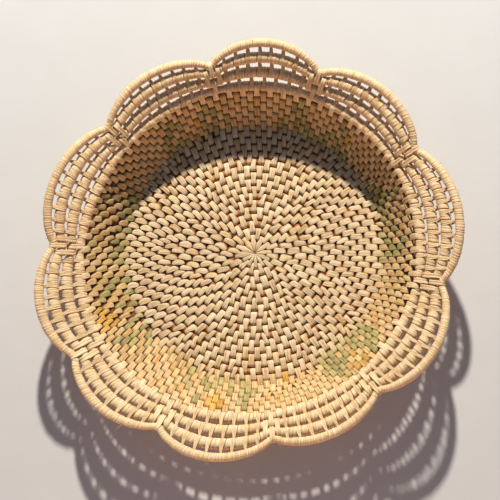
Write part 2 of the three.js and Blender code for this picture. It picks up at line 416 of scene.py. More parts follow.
# A strip's section: across, in widths from its middle, and out, in half thicknesses
STRIP_SECTION = np.array(
    [
        (-0.5, -0.4),
        (-0.49, 0.6),
        (-0.42, 1.0),
        (0.0, 1.18),
        (0.42, 1.0),
        (0.49, 0.6),
        (0.5, -0.4),
        (0.0, -1.0),
    ]
)
STRIP_ACROSS = np.array([0.0, 0.01, 0.08, 0.5, 0.92, 0.99, 1.0, 0.5])


def add_band(maker, radius, height, left, right, thickness, tone, painted_shade=0.0, roll=0.0):
    """A closed flat strip along a loop of points in an upright plane, facing out of the loop.

    Left and right are the bearings of its edges. Tone is its shade, tint and seed, painted shade
    darkens each point that lies down in a groove, and roll tips one edge outwards.
    """
    run_r = np.roll(radius, -1) - np.roll(radius, 1)
    run_z = np.roll(height, -1) - np.roll(height, 1)
    size = np.hypot(run_r, run_z) + 1e-12
    out_r = -run_z / size
    out_z = run_r / size
    bearing = (left + right) / 2
    width = (right - left) * radius
    across = STRIP_SECTION[:, 0][None, :] * width[:, None]
    out = STRIP_SECTION[:, 1][None, :] * thickness / 2 + across * roll
    ring_r = radius[:, None] + out_r[:, None] * out
    ring_z = height[:, None] + out_z[:, None] * out
    cos_b = np.cos(bearing)[:, None]
    sin_b = np.sin(bearing)[:, None]
    points = np.stack(
        [ring_r * cos_b - across * sin_b, ring_r * sin_b + across * cos_b, ring_z], axis=-1
    )
    steps = np.hypot(np.diff(radius, append=radius[:1]), np.diff(height, append=height[:1]))
    u = np.concatenate([[0], np.cumsum(steps)[:-1]])
    marks = np.empty((len(radius), len(STRIP_ACROSS), 4))
    marks[..., :3] = tone
    marks[..., 3] = np.broadcast_to(painted_shade, radius.shape)[:, None]
    maker.add_grid(points, u, STRIP_ACROSS, marks)


# Points round one end of a loop, from underneath to the top, in quarter turns
ARC = np.array([-1.0, -0.5, -0.06, 0.22, 0.47, 0.67, 0.85, 1.0])
ROUND_END = (1.0, 1.0)
STAR_END = (0.86, 0.92)
UNDER_SQUASH = 0.69  # strips lie flatter under the rope than over it


def end_arc(half, radius, shape):
    """(out, up) of the points round one end of a loop.

    The shape is (power, reach): powers under 1 press the half circle towards a square, and the
    reach scales it outwards.
    """
    power, reach = shape
    angles = ARC * half
    out = np.sign(np.cos(angles)) * np.abs(np.cos(angles)) ** power * reach
    up = np.sign(np.sin(angles)) * np.abs(np.sin(angles)) ** power
    return np.stack([out, up], -1) * radius


class Loop:
    """A loop round two sections in an upright plane: up the inner side, over, down and back under.

    For each point it has the radius and height, its way over from 0 to 1, and its rise, from 1 on
    top to -1 underneath.
    """

    def __init__(self, first, second, first_radius, second_radius, arch, squash, shapes):
        run = np.asarray(second) - np.asarray(first)
        gap = math.hypot(*run)
        ahead = run / gap
        tilt = math.asin(max(-0.9, min(0.9, (second_radius - first_radius) / gap)))
        inner = end_arc(math.pi / 2 - tilt, first_radius, shapes[0]) * (-1, 1)
        outer = end_arc(math.pi / 2 + tilt, second_radius, shapes[1])[::-1] + (gap, 0)
        top = inner[-1] + (outer[0] - inner[-1]) * np.array([[0.25], [0.5], [0.75]])
        bottom = outer[-1] + (inner[0] - outer[-1]) * np.array([[0.33], [0.67]])
        along, rise = np.concatenate([inner, top, outer, bottom]).T
        self.along = along
        self.gap = gap
        self.way = np.clip(along / gap, 0, 1)
        self.rise = rise / np.where(rise > 0, rise.max(), -rise.min())
        reach = gap / 2 + first_radius
        hump = np.clip(1 - ((along - gap / 2) / reach) ** 2, 0, 1)
        up = rise + np.where(rise > 0, arch * hump * self.rise, rise * (squash - 1))
        self.radius = first[0] + along * ahead[0] - up * ahead[1]
        self.height = first[1] + along * ahead[1] + up * ahead[0]


# Materials

# Shades that a texture's values multiply the colour with, as (value, shade)
STREAKS = ((0.34, (0.60, 0.46, 0.32)), (0.5, (0.96, 0.94, 0.90)), (0.62, (1.0, 1.0, 1.0)))
TINTS = (
    (0.0, (1.0, 0.98, 0.94)),
    (0.4, (1.0, 1.0, 1.0)),
    (0.75, (0.97, 1.0, 0.88)),
    (1.0, (1.0, 0.90, 0.74)),
)
# Fibre textures: changes along a metre of strip and across its width, detail and roughness
FIBRES = (60.0, 5.5, 3.0, 0.6)
FINE_FIBRES = (220.0, 19.0, 2.0, 0.5)
PATCHES = (150.0, 3.0, 0.6)  # changes in a metre, detail and roughness
SEED_SPREAD = 57.0  # how far apart two strips read the same texture
EDGE_SHADE = (0.72, 0.58, 0.42, 1.0)
# Painted shade for where a strip lies down in a groove
GROOVE_PAINTED_SHADE = (0.50, 0.24, 0.09, 1.0)
BUMP_HEIGHT = 0.3 * MM


class Shader:
    """A few short ways to add and join nodes."""

    def __init__(self, name):
        self.material = bpy.data.materials.new(name)
        self.material.use_nodes = True
        self.tree = self.material.node_tree
        self.surface = self.tree.nodes["Principled BSDF"]

    def node(self, kind, **values):
        made = self.tree.nodes.new(kind)
        for key, value in values.items():
            setattr(made, key, value)
        return made

    def join(self, source, target):
        self.tree.links.new(source, target)

    def math(self, operation, first, second=None, third=None, clamp=False):
        made = self.node("ShaderNodeMath", operation=operation, use_clamp=clamp)
        for socket, value in zip(made.inputs, (first, second, third)):
            self.put(socket, value)
        return made.outputs[0]

    def put(self, socket, value):
        """Joins a socket to a socket, or sets it to a plain value."""
        if value is None:
            return
        if isinstance(value, bpy.types.NodeSocket):
            self.join(value, socket)
        else:
            socket.default_value = value

    def mix(self, blend, factor, first, second):
        made = self.node("ShaderNodeMix", data_type="RGBA", blend_type=blend)
        self.put(made.inputs["Factor"], factor)
        self.put(made.inputs[6], first)
        self.put(made.inputs[7], second)
        return made.outputs[2]

    def ramp(self, value, stops):
        """A colour that runs through the stops, each a (value, colour)."""
        made = self.node("ShaderNodeValToRGB")
        elements = made.color_ramp.elements
        while len(elements) < len(stops):
            elements.new(0.5)
        for element, (position, shade) in zip(elements, stops):
            element.position = position
            element.color = (*shade, 1.0)
        self.join(value, made.inputs[0])
        return made.outputs[0]

    def noise(self, vector, scale, detail=3.0, roughness=0.55):
        made = self.node("ShaderNodeTexNoise")
        self.join(vector, made.inputs["Vector"])
        made.inputs["Scale"].default_value = scale
        made.inputs["Detail"].default_value = detail
        made.inputs["Roughness"].default_value = roughness
        return made.outputs["Fac"]

    def bump(self, height, strength):
        made = self.node("ShaderNodeBump")
        made.inputs["Strength"].default_value = strength
        made.inputs["Distance"].default_value = BUMP_HEIGHT
        self.join(height, made.inputs["Height"])
        self.join(made.outputs[0], self.surface.inputs["Normal"])

    def vector(self, x, y, z):
        made = self.node("ShaderNodeCombineXYZ")
        for socket, value in zip(made.inputs, (x, y, z)):
            self.put(socket, value)
        return made.outputs[0]


def strip_parts(shader):
    """(along, across, tone, tint, seed, painted groove shade) of a strip, as sockets."""
    uv = shader.node("ShaderNodeUVMap", uv_map="strip_uv")
    split = shader.node("ShaderNodeSeparateXYZ")
    shader.join(uv.outputs[0], split.inputs[0])
    strip = shader.node("ShaderNodeAttribute", attribute_name="strip")
    parts = shader.node("ShaderNodeSeparateXYZ")
    shader.join(strip.outputs["Vector"], parts.inputs[0])
    return (*split.outputs[:2], *parts.outputs[:3], strip.outputs["Alpha"])


def straw_material(name, tan, main, pale):
    """Dried leaf strip: long fibres, a shade and tint of its own, darker edges and painted shade in the
    grooves.
    """
    shader = Shader(name)
    along, across, tone, tint, seed, painted_shade = strip_parts(shader)
    shift = shader.math("MULTIPLY", seed, SEED_SPREAD)
    fibres = fibre_noise(shader, along, across, shift, FIBRES)
    fine = fibre_noise(shader, along, across, shift, FINE_FIBRES)
    place = shader.node("ShaderNodeTexCoord")
    patches = shader.noise(place.outputs["Object"], *PATCHES)
    mottle = shader.math("MULTIPLY_ADD", patches, 0.5, shader.math("MULTIPLY_ADD", tone, 0.32, -0.05))
    level = shader.math("ADD", mottle, shader.math("MULTIPLY_ADD", fibres, 0.5, -0.22), clamp=True)
    base = shader.ramp(level, ((0.0, tan), (0.4, main), (0.95, pale)))
    tinted = shader.mix("MULTIPLY", 1.0, base, shader.ramp(tint, TINTS))
    streaked = shader.mix("MULTIPLY", 0.8, tinted, shader.ramp(fibres, STREAKS))
    speckled = shader.mix("MULTIPLY", 0.8, streaked, shader.ramp(fine, STREAKS))
    edge = shader.math("ABSOLUTE", shader.math("SUBTRACT", across, 0.5))
    rim = shader.math("MULTIPLY_ADD", edge, 6.0, -2.4, clamp=True)
    edged = shader.mix("MULTIPLY", shader.math("MULTIPLY", rim, 0.4), speckled, EDGE_SHADE)
    # painted shade where the strip lies down in a groove
    final = shader.mix("MULTIPLY", painted_shade, edged, GROOVE_PAINTED_SHADE)
    surface = shader.surface
    shader.join(final, surface.inputs["Base Color"])
    shader.join(shader.math("MULTIPLY_ADD", fibres, 0.3, 0.47), surface.inputs["Roughness"])
    surface.inputs["Specular IOR Level"].default_value = 0.35
    shader.bump(shader.math("MULTIPLY_ADD", fine, 0.35, fibres), 0.7)
    return shader.material


def fibre_noise(shader, along, across, shift, kind):
    """A texture of lines that run along the strip."""
    stretch, count, detail, roughness = kind
    place = shader.vector(
        shader.math("MULTIPLY_ADD", along, stretch, shift),
        shader.math("MULTIPLY_ADD", across, count, shift),
        shift,
    )
    return shader.noise(place, 1.0, detail, roughness)


def grass_material(name, grass):
    """The rope inside: stringy grass that shows only in the gaps, its dark colour partly painted shade
    of the gaps.
    """
    shader = Shader(name)
    along, across, _, _, seed, _ = strip_parts(shader)
    lines = shader.vector(
        shader.math("MULTIPLY", along, 120.0), shader.math("MULTIPLY", across, 14.0), seed
    )
    strands = shader.noise(lines, 2.0, 4.0, 0.7)
    pale = tuple(min(1.0, part * 2.6) for part in grass)
    dark = tuple(part * 0.45 for part in grass)
    base = shader.ramp(strands, ((0.25, dark), (0.55, grass), (0.85, pale)))
    shader.join(base, shader.surface.inputs["Base Color"])
    shader.join(shader.math("MULTIPLY_ADD", strands, 0.2, 0.7), shader.surface.inputs["Roughness"])
    shader.bump(strands, 0.8)
    return shader.material


def floor_material(name, shade):
    """Matt and pale, with hardly any grain."""
    shader = Shader(name)
    place = shader.node("ShaderNodeTexCoord")
    grain = shader.noise(place.outputs["Object"], 35.0, 4.0, 0.5)
    low = tuple(part * 0.97 for part in shade)
    shader.join(shader.ramp(grain, ((0.3, low), (0.7, shade))), shader.surface.inputs["Base Color"])
    shader.surface.inputs["Roughness"].default_value = 0.8
    return shader.material


# The stitches of the coil

STAR_START = 0.6  # turns from the middle at which the star's strips cross the first row
# How a strip of the star runs on top, from the middle out, and where it comes back underneath
STAR_RADII = np.array([0.3, 0.4, 0.8, 1.7, 3.2, 5.2]) * MM
STAR_HEIGHTS = np.array([0.9, 2.0, 3.2, 4.15, 4.6, 4.75]) * MM
STAR_BACK = np.array([0.6, 0.35, 0.12])
SHIFT_ROUNDS = 40
ROW_DEPTH = 0.82  # thicknesses from the outside of a wrapped row to the middle of its strips
ROUND_CORD = 0.9  # how wide a stitch is on the rim's inner cord, for 1 on a row


def stitch_turns(lines, sizes, end):
    """Turns at which the stitches start: each lies between two stitches of the row before.

    The first are the star's strips. Where a row has grown long enough, two stitches share one gap.
    """
    star = sizes.star_strips
    turns = [STAR_START + index / star for index in range(star)]
    gaps = []
    shares = []
    owed = 0.0
    index = 0
    while (turns[index] + turns[index + 1]) / 2 + 1 <= end:
        first, second = turns[index], turns[index + 1]
        radius = float(lines.row((second + 1.5) * lines.pitch)[0])
        width = (second - first) * FULL_TURN * radius
        owed += width / sizes.stitch_spacing - 1
        split = owed > 0.5 and width > 0.95 * sizes.stitch_spacing
        owed -= split
        for share in (0.3, 0.7) if split else (0.5,):
            turns.append(first + share * (second - first) + 1)
            gaps.append(index)
            shares.append(share)
        index += 1
    return even_out(np.array(turns), np.array(gaps), np.array(shares), star)


def even_out(turns, gaps, shares, star):
    """Shifts each stitch towards the middle of the stitches round it, as a sewer would place it."""
    own = np.arange(star, len(turns))
    for _ in range(SHIFT_ROUNDS):
        before = turns[gaps] + shares * (turns[gaps + 1] - turns[gaps]) + 1
        beside = (turns[own - 1] + turns[np.minimum(own + 1, len(turns) - 1)]) / 2
        sums = np.zeros(len(turns))
        counts = np.zeros(len(turns))
        for place in (gaps, gaps + 1):
            np.add.at(sums, place, turns[own] - 1)
            np.add.at(counts, place, 1)
        after = np.where(counts > 0, sums / np.maximum(counts, 1), turns)[own]
        goal = (before + beside + after) / 3
        turns[own[:-1]] += 0.5 * (goal - turns[own])[:-1]
    return turns


def stitch_edges(turns):
    """The turns of each stitch's edges, on its own row and on the next: halfway to its neighbours."""
    marks = np.sort(np.concatenate([turns, turns + 1]))
    edges = []
    for own in (turns, turns + 1):
        place = np.searchsorted(marks, own)
        before = marks[np.maximum(place - 1, 0)]
        after = marks[np.minimum(place + 1, len(marks) - 1)]
        edges.append((before + own) / 2)
        edges.append((own + after) / 2)
    return np.stack(edges, -1)


def row_section(lines, turn):
    """((radius, height), radius of a strip's middle round the rope) at a turn."""
    distance, half = lines.rope(turn)
    radius, height, _ = lines.row(distance)
    strip = float(half) - lines.sizes.strip_thickness * ROW_DEPTH
    return (float(radius), float(height)), strip


def meets_rim(lines, turn):
    """Whether a stitch that starts at this turn goes round the rim's inner cord."""
    return turn + 1 >= lines.coil_end + 0.5 or turn > lines.coil_end


def stitch_ends(lines, turn):
    """The two sections that a stitch goes round, from the row that it starts on."""
    inner = row_section(lines, turn)
    if not meets_rim(lines, turn):
        return inner, row_section(lines, turn + 1)
    radius, height = lines.cord_place(0, turn * FULL_TURN)
    outer_radius = float(lines.cord_radius(0, turn * FULL_TURN))
    return inner, ((float(radius), float(height)), outer_radius)


def strip_tone(random):
    """The shade, tint and seed of one strip, all from 0 to 1."""
    return (random.random(), random.random() ** 2, random.random())


def painted_groove_shade(rise, way=0.5):
    """How much painted shade darkens a strip where it dips between two rows, most at its outer end."""
    return np.clip((0.5 - np.abs(rise)) / 0.8, 0, 1) * (0.7 + 0.3 * way)


def nearness(turn, bearing, spread):
    """1 where a turn passes this bearing, and less away from it, both in degrees."""
    offset = (turn * 360 - bearing + 180) % 360 - 180
    return math.exp(-((offset / spread) ** 2))


class StitchForm:
    """How one stitch lies, which differs from place to place.

    Wall stitches are squarer than those of the floor. Left (-X) and right (+X) are the sides of the
    basket: at the left one edge tapers towards both ends, which gives half-moons, and at the right
    the stitches are straight and blocky, with open holes at their ends. The form says how far they
    lean and arch, how far their corners and waist are drawn in, how much each edge tapers, the
    power and reach of their ends, and how full they are.
    """

    def __init__(self, lines, turn, random):
        self.on_wall = turn > lines.splice - 0.5
        spread = 38 if self.on_wall else 60
        left = nearness(turn, 180, spread)
        right = nearness(turn, 0, spread)
        if self.on_wall:
            self.lean = (0.25 + 0.6 * nearness(turn, 190, 45)) * MM
            self.arch = (0.5 + 0.35 * random.random() + 0.25 * right) * MM
            self.corners = 0.04 + 0.12 * random.random(2)
            self.waist = (0.07 + 0.06 * random.random()) * (1 - max(left, right))
            self.tapers = np.array([1.1 * left + 0.08 * right, 0.25 * left + 0.38 * right])
            self.shape = (0.74 - 0.1 * right, 0.92 - 0.14 * right)
            self.fullness = 0.84 + 0.16 * nearness(turn, 270, 60)
        else:
            self.lean = -0.25 * MM
            self.arch = (0.45 + 0.4 * random.random()) * (1 - 0.4 * right) * MM
            self.corners = (0.12 + 0.18 * random.random(2)) * (1 - 0.85 * right)
            self.waist = (0.13 + 0.09 * random.random()) * (1 - left) * (1 - right)
            self.tapers = np.array([0.95 * left, 0.15 * right])
            self.shape = (0.86 - 0.24 * right - 0.16 * left, 0.92 + 0.06 * left - 0.15 * right)
            self.fullness = 0.9 + 0.1 * max(left, right)
        self.lean += 0.5 * MM * (random.random() - 0.5)
        self.tapers = np.minimum(0.9, self.tapers * (0.8 + 0.4 * random.random(2)))
        self.taper_power = 2.2 if self.on_wall else 2.2 - 0.5 * left

    def widths(self, way, end):
        """The share of its full width to each side, at points this far over and towards an end."""
        pinch = np.interp(way, (0, 1), self.corners) * end**8 + self.waist * (1 - (2 * way - 1) ** 2)
        return (1 - pinch - taper * end**self.taper_power for taper in self.tapers)


def add_stitch(maker, lines, turn, edges, random):
    """One strip round the row at this turn and the next row, from edge to edge of its column."""
    sizes = lines.sizes
    form = StitchForm(lines, turn, random)
    (first, first_radius), (second, second_radius) = stitch_ends(lines, turn)
    shapes = (form.shape, ROUND_END if meets_rim(lines, turn) else form.shape)
    loop = Loop(first, second, first_radius, second_radius, form.arch, UNDER_SQUASH, shapes)
    offsets = (edges - np.array([turn, turn, turn + 1, turn + 1])) * FULL_TURN
    edge_radius = np.array([first[0], first[0], second[0], second[0]])
    widest = form.fullness * sizes.strip_width / 2 / edge_radius
    if meets_rim(lines, turn):
        widest[2:] *= ROUND_CORD
    offsets = np.clip(offsets, -widest, widest)
    blend = loop.way * loop.way * (3 - 2 * loop.way)
    end = np.abs(loop.along - loop.gap / 2) / (loop.gap / 2 + first_radius)
    left_width, right_width = form.widths(loop.way, np.clip(end, 0, 1))
    left = (offsets[0] + (offsets[2] - offsets[0]) * blend) * left_width
    right = (offsets[1] + (offsets[3] - offsets[1]) * blend) * right_width
    play = (0.10 * random.random(2) - 0.09) * MM / loop.radius[:, None]
    bearing = turn * FULL_TURN + form.lean * (loop.way - 0.5) / loop.radius
    roll = 0.10 * (random.random() - 0.5)
    add_band(
        maker,
        loop.radius,
        loop.height,
        bearing + left + play[:, 0],
        bearing + right - play[:, 1],
        sizes.strip_thickness,
        strip_tone(random),
        painted_groove_shade(loop.rise, loop.way),
        roll,
    )


def add_star_strip(maker, lines, turn, edges, random):
    """A folded strip from the middle out over the first rows."""
    sizes = lines.sizes
    end = (turn + 1.5) * lines.pitch
    thick = sizes.strip_thickness
    half = sizes.row_pitch / 2 - thick * 0.68
    curl, climb = end_arc(math.pi / 2, half, STAR_END)[::-1].T
    over_r = end - sizes.row_pitch / 2 + curl
    over_z = sizes.stand_height + climb * np.where(climb < 0, UNDER_SQUASH, 1)
    share = np.linspace(0, 1, 6)[1:-1]
    middle_r = STAR_RADII[-1] + (over_r[0] - STAR_RADII[-1]) * share
    middle_z = STAR_HEIGHTS[-1] + (over_z[0] - STAR_HEIGHTS[-1]) * share**1.6
    back_z = np.full(len(STAR_BACK), over_z[-1])
    radius = np.concatenate([STAR_RADII, middle_r, over_r, STAR_BACK * over_r[-1]])
    height = np.concatenate([STAR_HEIGHTS, middle_z, over_z, back_z])
    climbing = np.linspace(0.1, 1, len(STAR_RADII))
    rise = np.concatenate([climbing, np.ones(len(share)), climb / half, -np.ones(len(STAR_BACK))])
    share = np.clip((radius / lines.pitch - turn - 0.2) / 0.6, 0, 1)
    room = FULL_TURN / sizes.star_strips / 2
    left = room + ((turn + 1 - edges[2]) * FULL_TURN - room) * share
    right = room + ((edges[3] - turn - 1) * FULL_TURN - room) * share
    play = np.minimum((0.03 + 0.10 * random.random(2)) * MM / radius[:, None], 0.2 * room)
    sway = 0.06 * (random.random() - 0.5) * np.clip(radius / end, 0, 1)
    bearing = turn * FULL_TURN + sway
    roll = 0.16 * (random.random() - 0.5)
    left = bearing - left + play[:, 0]
    right = bearing + right - play[:, 1]
    add_band(maker, radius, height, left, right, thick, strip_tone(random), painted_groove_shade(rise), roll)


# The pattern of the wall: green triangles in pairs that point up, some with an orange one between

PATTERN = (13, 63, 116, 168, 205, 256, 314)  # bearings of the middles of the pairs, in degrees
PATTERN_ROWS = 6.6
GREEN_MIDDLE = 8.5  # degrees from the middle of a pair to the middle of a triangle
GREEN_HALF = 7.5  # degrees from the middle of a triangle to its foot, on the first row
GREEN_SHARE = 0.78  # of the stitches in a green triangle, the rest being natural
ORANGE_SIDE = (190, 340)  # only these bearings have an orange triangle
ORANGE_FOOT = 0.42  # how far up the pattern it starts
ORANGE_SHARE = 0.75
STRAY_ORANGE = 0.012


def wall_shade(lines, turn, random):
    """Which colour a wall stitch has: natural, green or orange."""
    bearing = math.degrees(turn * FULL_TURN) % 360
    share = (turn - lines.splice) / PATTERN_ROWS
    offset = min(abs((bearing - middle + 180) % 360 - 180) for middle in PATTERN)
    has_orange = ORANGE_SIDE[0] < bearing < ORANGE_SIDE[1] and ORANGE_FOOT < share < 1
    if has_orange and offset < 5 * share - 0.9:
        return "orange" if random.random() < ORANGE_SHARE else "natural"
    if -0.05 < share < 1 and abs(offset - GREEN_MIDDLE) < GREEN_HALF * (1 - share) + 1.2:
        return "green" if random.random() < GREEN_SHARE else "natural"
    return "orange" if random.random() < STRAY_ORANGE else "natural"


# Round cords, wound with strip

CORD_SAMPLES = 7200
CORD_STEP = 0.25 * MM
CORD_SIDES = 18
GROOVE = 0.25 * MM  # half the width of a groove between two windings
STITCH_SPAN = 3.2 * MM  # of a long stitch, where it lies on the inner of its two cords
STITCH_GROOVE = 0.70  # millimetres deep, just after a long stitch
LESSER_GROOVES = (0.18, 0.15)  # just before a long stitch, and between other windings
BARREL = 0.42 * MM  # how much fuller a cord is between its long stitches
OUTER_BARREL = 0.15 * MM
BARREL_FADE = (0.05, 0.12)  # angles from a valley between which a cord starts to be fuller
MAP_RADIUS = 3 * MM  # the radius of all cords in the strip map
MAP_STEP = 13 * MM  # how much further along the strip the map of each turn starts


class CordLine:
    """A closed rim cord: where it runs, how long it is and which way its sides face."""

    def __init__(self, lines, cord):
        self.lean = lines.sizes.rim_angle
        self.bearing = np.arange(CORD_SAMPLES + 1) * FULL_TURN / CORD_SAMPLES
        radius, height = lines.cord_place(cord, self.bearing)
        flat = (radius * np.cos(self.bearing), radius * np.sin(self.bearing))
        self.points = np.stack([*flat, height], -1)
        step = np.linalg.norm(np.diff(self.points, axis=0), axis=1)
        self.along = np.concatenate([[0], np.cumsum(step)])
        self.length = self.along[-1]

    def frames(self, count):
        """Even bearings and points along the cord, with a side and an up direction at each."""
        even = np.arange(count) * self.length / count
        bearing = np.interp(even, self.along, self.bearing)
        points = np.stack([np.interp(even, self.along, axis) for axis in self.points.T], -1)
        tangent = np.roll(points, -1, 0) - np.roll(points, 1, 0)
        tangent /= np.linalg.norm(tangent, axis=1)[:, None]
        flat = -math.sin(self.lean)
        steep = np.full(count, math.cos(self.lean))
        up = np.stack([flat * np.cos(bearing), flat * np.sin(bearing), steep], -1)
        side = np.cross(tangent, up)
        side /= np.linalg.norm(side, axis=1)[:, None]
        return even, bearing, points, side, np.cross(side, tangent)


def winding_ends(marks, whole, width, random):
    """Where each turn of a cord's winding starts, and how deep its groove is there.

    A long stitch covers the cord around each mark, and the groove just after it is the deepest.
    """
    ends = []
    grooves = []
    half = STITCH_SPAN / 2
    for start, end in zip(marks, np.append(marks[1:], marks[0] + whole)):
        ends.append(start - half)
        grooves.append(LESSER_GROOVES[0])
        room = end - start - 2 * half
        count = max(1, int(round(room / width)))
        steps = np.arange(count)
        cuts = steps + 0.35 * (random.random_sample(count) - 0.5) * (steps > 0)
        ends.extend(start + half + room * cuts / count)
        grooves.extend([STITCH_GROOVE] + [LESSER_GROOVES[1]] * (count - 1))
    return np.array(ends), np.array(grooves) * MM


def plain_winding(whole, width, random):
    """The same for a cord that no long stitch leaves."""
    count = int(round(whole / width))
    cuts = np.arange(count) + 0.5 * (random.random_sample(count) - 0.5)
    return cuts * whole / count, (0.08 + 0.16 * random.random_sample(count)) * MM


def winding_tones(turns, random):
    """The shade, tint and seed of each turn of a winding, whose shades differ little."""
    tones = random.random_sample((turns, 3))
    tones[:, 0] = 0.42 + 0.2 * tones[:, 0]
    tones[:, 1] **= 2
    return tones


def barrels(marks, whole, even, random):
    """How much fuller a cord is at each point: 0 at a long stitch and about 1 midway to the next."""
    place = np.searchsorted(marks, even) % len(marks)
    starts = marks[place - 1]
    share = ((even - starts) % whole) / ((marks[place] - starts) % whole)
    return 4 * share * (1 - share) * (0.5 + random.random_sample(len(marks)))[place]


def wound_cord(lines, cord, name, material, seed):
    """A cord wound closely with flat strip, with a groove between each turn of strip and the next."""
    random = np.random.RandomState(seed)
    run = CordLine(lines, cord)
    width = lines.sizes.wrap_width
    outermost = cord == len(RIM_CORDS) - 1
    stitched = np.sort(bridge_bearings(lines, cord - outermost) % FULL_TURN)
    marks = np.interp(stitched, run.bearing, run.along)
    if outermost:
        ends, grooves = plain_winding(run.length, 0.62 * width, random)
    else:
        ends, grooves = winding_ends(marks, run.length, width, random)
    even, bearing, points, side, up = run.frames(int(run.length / CORD_STEP))
    turns = len(ends)
    widths = np.diff(np.append(ends, ends[0] + run.length))
    shifted = np.where(even < ends[0], even + run.length, even)
    phase = np.interp(shifted, np.append(ends, ends[0] + run.length), np.arange(turns + 1))
    angle_round = np.arange(CORD_SIDES) * FULL_TURN / CORD_SIDES
    turn = phase[:, None] - angle_round[None, :] / FULL_TURN
    wrap = np.floor(turn).astype(int) % turns
    inside = turn - np.floor(turn)
    before = grooves[wrap] * np.exp(-((inside * widths[wrap] / GROOVE) ** 2))
    after = np.roll(grooves, -1)[wrap] * np.exp(-(((1 - inside) * widths[wrap] / GROOVE) ** 2))
    fullness = 0.20 * MM * (random.random_sample(turns) - 0.7)
    slack = 0.22 * MM * (random.random_sample(turns) - 0.5)
    swell = (OUTER_BARREL if outermost else BARREL) * barrels(marks, run.length, even, random)
    swell *= np.interp(lines.valley_offset(bearing), BARREL_FADE, (0, 1))
    out = (lines.cord_radius(cord, bearing) + swell)[:, None]
    out = out + fullness[wrap] + slack[wrap] * (inside - 0.5)
    out = out - before - after - 0.09 * MM * (2 * inside - 1) ** 2
    ring = (
        np.cos(angle_round)[None, :, None] * side[:, None, :]
        + np.sin(angle_round)[None, :, None] * up[:, None, :]
    )
    marks = np.empty((len(even), CORD_SIDES, 4))
    marks[..., :3] = winding_tones(turns, random)[wrap]
    # painted shade in the grooves between windings, as deep as the grooves
    marks[..., 3] = np.clip((before + after) / (0.8 * MM), 0, 1)
    maker = MeshMaker()
    maker.add_grid(points[:, None, :] + ring * out[..., None], even, angle_round / FULL_TURN, marks)
    wrap_uv(maker, phase)
    return maker.build(name, material)


def wrap_uv(maker, phase):
    """Lays the strip map on the winding: its length runs round the cord and its width along it."""
    count = len(phase)
    uv = maker.uvs[0].reshape(count, CORD_SIDES, 4, 2)
    step = phase[1] - phase[0]
    phases = np.append(phase, phase[-1] + step)
    here = np.arange(count)
    corner_s = np.stack([here, here + 1, here + 1, here], -1)
    rounds = np.arange(CORD_SIDES) / CORD_SIDES
    corner_a = np.stack([rounds, rounds, rounds + 1 / CORD_SIDES, rounds + 1 / CORD_SIDES], -1)
    turn = phases[corner_s][:, None, :] - corner_a[None, :, :]
    floor = np.floor(turn.min(axis=2, keepdims=True))
    uv[..., 0] = corner_a[None, :, :] * FULL_TURN * MAP_RADIUS + floor * MAP_STEP
    uv[..., 1] = np.clip(turn - floor, 0, 1)


# The long stitches of the openwork and the lashings in the valleys

LASHING_CLEARANCE = math.radians(4.4)  # from a valley to the nearest long stitch
LASHING_LIFT = 0.22 * MM  # from a cord's winding to the middle of a lashing
LASHING_THICKNESS = 0.45 * MM
BRIDGE_LIFTS = (0.02 * MM, -0.3 * MM)  # the same for a long stitch, on its inner and outer cord
BRIDGE_THICKNESS = 0.4 * MM
# Where a long stitch goes round its inner cord: from underneath, over the top and down
BRIDGE_ARC = np.radians(np.linspace(-100, -296, 12))


def cord_section(lines, cord, bearing, extra):
    """(middle, reach) of a strip round a cord, in an upright plane at a bearing."""
    radius, height = lines.cord_place(cord, bearing)
    reach = (float(lines.cord_radius(cord, bearing)) + extra) * lines.cord_slant(cord, bearing)
    return np.array([float(radius), float(height)]), reach


def bridge_path(first, second, first_radius, second_radius):
    """(radius, height, way along, gap) of a loop from cord to cord.

    It goes over the inner cord, straight across the gap, down in front of the outer cord and back.
    """
    run = second - first
    gap = math.hypot(*run)
    ahead = run / gap
    up = np.array([-ahead[1], ahead[0]])
    arc = np.stack([np.cos(BRIDGE_ARC), np.sin(BRIDGE_ARC)], -1) * first_radius
    start = arc[-1]
    near = np.array([gap - 0.85 * second_radius, 0.1 * second_radius])
    end = np.array([gap - 0.1 * second_radius, -second_radius])
    crossing = np.concatenate([start + (near - start) * np.linspace(0, 1, 7)[1:, None], [end]])
    back = end + (arc[0] - end) * np.linspace(0, 1, 5)[1:-1, None]
    flat = np.concatenate([arc, crossing, back - np.array([0, 0.25 * MM])])
    points = first + flat[:, :1] * ahead + flat[:, 1:] * up
    return points[:, 0], points[:, 1], flat[:, 0], gap


def add_bridge(maker, lines, cord, bearing, random):
    """A long stitch: three strips over the inner cord that draw together towards the outer one."""
    first, first_radius = cord_section(lines, cord, bearing, BRIDGE_LIFTS[0])
    second, second_radius = cord_section(lines, cord + 1, bearing, BRIDGE_LIFTS[1])
    radius, height, along, gap = bridge_path(first, second, first_radius, second_radius)
    half_way = 0.5 * (gap + first_radius - second_radius)
    places = (0.5 * first_radius, half_way, gap - 0.8 * second_radius, gap)
    narrow = np.interp(along, places, (1.0, 0.62, 0.5, 0.5))
    full = STITCH_SPAN / 3 * (0.92 + 0.16 * random.random())
    lean = (0.7 + 1.1 * (random.random() - 0.5)) * MM
    side = lean * np.clip((along - first_radius * 0.5) / gap, 0, 1)
    tone = np.array(strip_tone(random))
    # painted shade, darker where the stitch goes down in front of the outer cord
    painted_shade = np.clip((along / gap - 0.45) * 1.2, 0, 0.6)
    for part in (-1.0, 0.0, 1.0):
        middle = bearing + (part * full * narrow + side) / radius
        half = full * (0.25 + 0.72 * narrow) / 2 / radius
        own = np.clip(tone + 0.3 * (random.random() - 0.5), 0, 1)
        lift = (0.10 * random.random() - 0.05 * abs(part)) * MM
        scale = 1 + lift / first_radius
        loop_r = first[0] + (radius - first[0]) * scale
        loop_z = first[1] + (height - first[1]) * scale
        left, right = middle - half, middle + half
        add_band(maker, loop_r, loop_z, left, right, BRIDGE_THICKNESS, own, painted_shade, 0.10 * part)


